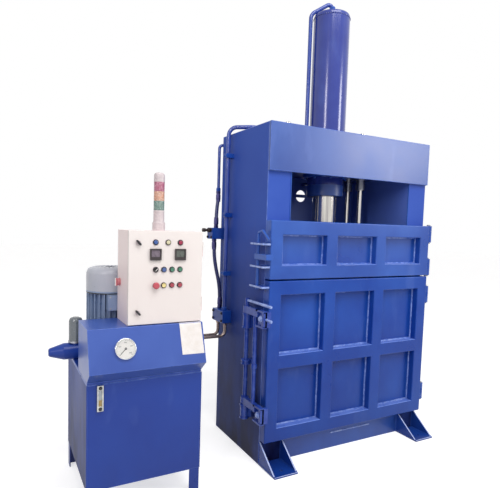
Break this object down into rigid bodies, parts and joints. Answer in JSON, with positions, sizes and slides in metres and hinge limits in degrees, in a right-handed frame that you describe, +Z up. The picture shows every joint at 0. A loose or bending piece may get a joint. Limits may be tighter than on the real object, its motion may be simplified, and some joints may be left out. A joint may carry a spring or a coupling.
{
  "type": "recycling baler",
  "caption": "Down-stroke press that bales waste behind a pair of barred doors, with its hydraulic power pack, control cabinet and signal lamp beside it.",
  "frame": {"origin": "on the floor under the ram's axis, in the middle of the press base's underside", "axes": "+Z up along the ram, +X to the right seen from the door side, the doors face -Y"},
  "size_m": [2.584, 0.893, 3.0925],
  "materials": {
    "blue_paint": "sprayed enamel, semi-gloss, over welded plate",
    "hard_chrome": "ground and polished hard chrome",
    "machined_steel": "turned steel, lightly oiled",
    "hose_rubber": "hydraulic hose cover, painted over in part",
    "motor_paint": "grey-blue machine enamel",
    "cream_paint": "off-white powder coat",
    "dark_plastic": "moulded, matte",
    "gauge_metal": "bright pressed case round a white dial",
    "level_metal": "cast frame round a sight window",
    "grey_plastic": "moulded, pale grey",
    "lens_plastic": "coloured translucent rings",
    "blue_plastic": "moulded cap",
    "green_plastic": "moulded cap",
    "yellow_plastic": "moulded cap",
    "red_plastic": "moulded cap"
  },
  "bodies": {
    "machine": {"left_side_frame": "blue_paint", "right_side_frame": "blue_paint", "back_wall": "blue_paint", "crosshead": "blue_paint", "base_frame": "blue_paint", "front_feet": "blue_paint", "cylinder_tube": "blue_paint", "cylinder_cap": "blue_paint", "cylinder_gland": "blue_paint", "cylinder_flange": "blue_paint", "guide_bushes": "machined_steel", "hinge_lugs": "blue_paint", "lock_brackets": "blue_paint", "cap_side_pipe": "blue_paint", "rod_side_pipe": "blue_paint", "upper_hose": "hose_rubber", "lower_hose": "hose_rubber", "supply_pipes": "blue_paint", "side_manifolds": "blue_paint", "pipe_clamps": "blue_paint", "oil_tank": "blue_paint", "tank_legs": "blue_paint", "tank_lid": "blue_paint", "console_cover": "blue_paint", "gauge_case": "gauge_metal", "bell_housing": "blue_paint", "motor_frame": "motor_paint", "fan_cowl": "motor_paint", "filter_head": "blue_paint", "filter_canister": "motor_paint", "valve_block": "blue_paint", "level_gauge": "level_metal", "control_box": "cream_paint", "stack_light_body": "grey_plastic", "stack_light_lenses": "lens_plastic"},
    "ram": {"piston_rod": "hard_chrome", "platen": "blue_paint", "guide_rods": "hard_chrome"},
    "upper_door": {"upper_door_plate": "blue_paint", "upper_door_ribs": "blue_paint"},
    "lower_door": {"lower_door_plate": "blue_paint", "lower_door_ribs": "blue_paint"},
    "door_lock": {"lock_bar": "blue_paint"},
    "door_latch": {"upper_latch": "blue_paint"},
    "cabinet_door": {"control_door": "cream_paint", "panel_instruments": "dark_plastic"},
    "needle": {"gauge_needle": "dark_plastic"},
    "rotor": {"motor_rotor": "machined_steel"},
    "selector": {"selector_switch": "dark_plastic"},
    "isolator": {"main_switch": "red_plastic"},
    "upper_lock": {"top_door_lock": "dark_plastic"},
    "under_lock": {"bottom_door_lock": "dark_plastic"},
    "blue_button": {"blue_button": "blue_plastic"},
    "left_green_button": {"left_green_button": "green_plastic"},
    "right_green_button": {"right_green_button": "green_plastic"},
    "yellow_button": {"yellow_button": "yellow_plastic"},
    "left_red_button": {"left_red_button": "red_plastic"},
    "right_red_button": {"right_red_button": "red_plastic"},
    "emergency_stop": {"emergency_stop": "red_plastic"}
  },
  "joints": [
    {"name": "ram_slide", "type": "slide", "parent": "machine", "child": "ram", "axis": [0, 0, 1], "range_m": [0, 1.05]},
    {"name": "upper_door_swing", "type": "hinge", "parent": "machine", "child": "upper_door", "pos_m": [0.7, -0.355, 1.36], "axis": [0, 0, 1], "range_deg": [0, 115]},
    {"name": "lower_door_swing", "type": "hinge", "parent": "machine", "child": "lower_door", "pos_m": [0.7, -0.355, 0.67], "axis": [0, 0, 1], "range_deg": [0, 115]},
    {"name": "lock_swing", "type": "hinge", "parent": "machine", "child": "door_lock", "pos_m": [-0.715, -0.19, 0.65], "axis": [0, 0, 1], "range_deg": [-90, 7]},
    {"name": "latch_swing", "type": "hinge", "parent": "machine", "child": "door_latch", "pos_m": [-0.712, -0.3, 1.3], "axis": [0, 0, 1], "range_deg": [-90, 10]},
    {"name": "cabinet_door_swing", "type": "hinge", "parent": "machine", "child": "cabinet_door", "pos_m": [-1.125, -0.407, 1.21], "axis": [0, 0, 1], "range_deg": [0, 110]},
    {"name": "needle_turn", "type": "hinge", "parent": "machine", "child": "needle", "pos_m": [-1.553, -0.47181, 0.86608], "axis": [0, 0.9491, -0.3149], "range_deg": [0, 270], "stiffness_Nm_per_rad": 0.002, "springref_deg": -22.92},
    {"name": "rotor_spin", "type": "hinge", "parent": "machine", "child": "rotor", "pos_m": [-1.532, -0.015, 0.9], "axis": [0, 0, 1], "continuous": true},
    {"name": "isolator_turn", "type": "hinge", "parent": "machine", "child": "isolator", "pos_m": [-1.54, -0.245, 1.177], "axis": [1, 0, 0], "range_deg": [0, 90]},
    {"name": "selector_turn", "type": "hinge", "parent": "cabinet_door", "child": "selector", "pos_m": [-1.39, -0.43, 1.257], "axis": [0, 1, 0], "range_deg": [-45, 45]},
    {"name": "upper_lock_turn", "type": "hinge", "parent": "cabinet_door", "child": "upper_lock", "pos_m": [-1.482, -0.425, 1.396], "axis": [0, -1, 0], "range_deg": [0, 90]},
    {"name": "under_lock_turn", "type": "hinge", "parent": "cabinet_door", "child": "under_lock", "pos_m": [-1.482, -0.425, 1.037], "axis": [0, -1, 0], "range_deg": [0, 90]},
    {"name": "blue_button_press", "type": "slide", "parent": "cabinet_door", "child": "blue_button", "axis": [0, 1, 0], "range_m": [0, 0.004], "stiffness_N_per_m": 400},
    {"name": "left_green_button_press", "type": "slide", "parent": "cabinet_door", "child": "left_green_button", "axis": [0, 1, 0], "range_m": [0, 0.004], "stiffness_N_per_m": 400},
    {"name": "right_green_button_press", "type": "slide", "parent": "cabinet_door", "child": "right_green_button", "axis": [0, 1, 0], "range_m": [0, 0.004], "stiffness_N_per_m": 400},
    {"name": "yellow_button_press", "type": "slide", "parent": "cabinet_door", "child": "yellow_button", "axis": [0, 1, 0], "range_m": [0, 0.004], "stiffness_N_per_m": 400},
    {"name": "left_red_button_press", "type": "slide", "parent": "cabinet_door", "child": "left_red_button", "axis": [0, 1, 0], "range_m": [0, 0.004], "stiffness_N_per_m": 400},
    {"name": "right_red_button_press", "type": "slide", "parent": "cabinet_door", "child": "right_red_button", "axis": [0, 1, 0], "range_m": [0, 0.004], "stiffness_N_per_m": 400},
    {"name": "emergency_stop_press", "type": "slide", "parent": "cabinet_door", "child": "emergency_stop", "axis": [0, 1, 0], "range_m": [0, 0.004], "stiffness_N_per_m": 400}
  ]
}
